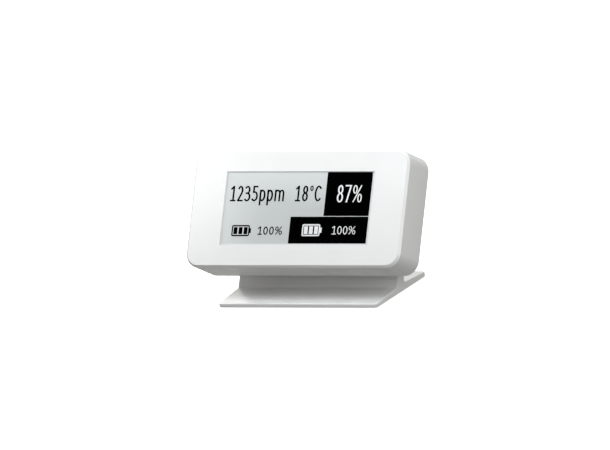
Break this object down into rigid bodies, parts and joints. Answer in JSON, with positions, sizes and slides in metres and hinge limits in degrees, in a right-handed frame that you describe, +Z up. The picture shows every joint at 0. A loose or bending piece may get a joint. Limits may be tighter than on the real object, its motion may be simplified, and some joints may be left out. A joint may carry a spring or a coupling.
{
  "type": "air quality monitor",
  "caption": "Desktop air quality monitor: a flat case with an e-paper display, leaning back on a removable one-piece desk stand, battery powered.",
  "frame": {"origin": "on the table, under the middle of the stand's footprint", "axes": "+X across the display, to the right of someone reading it; +Y from the display towards the back; +Z up"},
  "size_m": [0.0984, 0.042, 0.0589],
  "materials": {
    "housing_plastic": "smooth moulded white plastic",
    "cover_plastic": "fine-textured moulded white plastic",
    "stand_plastic": "smooth moulded white plastic",
    "display_film": "matt anti-glare film over light grey electronic paper",
    "display_glass": "thin ground-edge display glass",
    "foam_rubber": "closed-cell black foam",
    "seal_rubber": "soft silicone seal",
    "flex_film": "amber polyimide film",
    "connector_plastic": "moulded cream nylon",
    "board_resin": "glass-fibre board under green solder mask",
    "chip_resin": "black moulded epoxy",
    "ceramic": "white glazed ceramic",
    "shield_steel": "tinned steel sheet",
    "capacitor_can": "drawn can with a printed band",
    "screw_steel": "zinc-plated steel",
    "contact_metal": "nickel-plated spring steel",
    "insert_brass": "turned and knurled brass",
    "cell_can": "plastic-wrapped metal can",
    "button_plastic": "satin light grey plastic",
    "mesh_fabric": "fine woven black mesh",
    "filter_fabric": "white porous membrane",
    "foot_rubber": "soft translucent grey pad"
  },
  "bodies": {
    "stand": {"desk_stand": "stand_plastic", "foot_pads": "foot_rubber"},
    "monitor": {"front_housing": "housing_plastic", "back_cover": "cover_plastic", "epaper_film": "display_film", "epaper_glass": "display_glass", "display_gasket": "foam_rubber", "display_flex": "flex_film", "flex_connector": "connector_plastic", "display_foam": "foam_rubber", "main_board": "board_resin", "board_screws": "screw_steel", "co2_sensor": "shield_steel", "co2_filter": "filter_fabric", "sensor_seal": "seal_rubber", "humidity_sensor": "ceramic", "radio_module": "board_resin", "radio_shield": "shield_steel", "chip_antenna": "ceramic", "board_chips": "chip_resin", "storage_capacitor": "capacitor_can", "tact_switch": "chip_resin", "vent_meshes": "mesh_fabric", "upper_cell": "cell_can", "lower_cell": "cell_can", "cell_plates": "contact_metal", "cell_springs": "contact_metal", "brass_inserts": "insert_brass", "cover_screws": "screw_steel"},
    "battery_door": {"battery_door": "cover_plastic"},
    "reset_button": {"reset_button": "button_plastic"}
  },
  "joints": [
    {"name": "monitor_lift", "type": "slide", "parent": "stand", "child": "monitor", "axis": [0, 0.5, 0.866], "range_m": [0, 0.03]},
    {"name": "door_slide", "type": "slide", "parent": "monitor", "child": "battery_door", "axis": [0, 0.5, 0.866], "range_m": [0, 0.036]},
    {"name": "reset_press", "type": "slide", "parent": "monitor", "child": "reset_button", "axis": [0, -0.866, 0.5], "range_m": [0, 0.0005], "stiffness_N_per_m": 800, "springref_m": -0.0003}
  ]
}
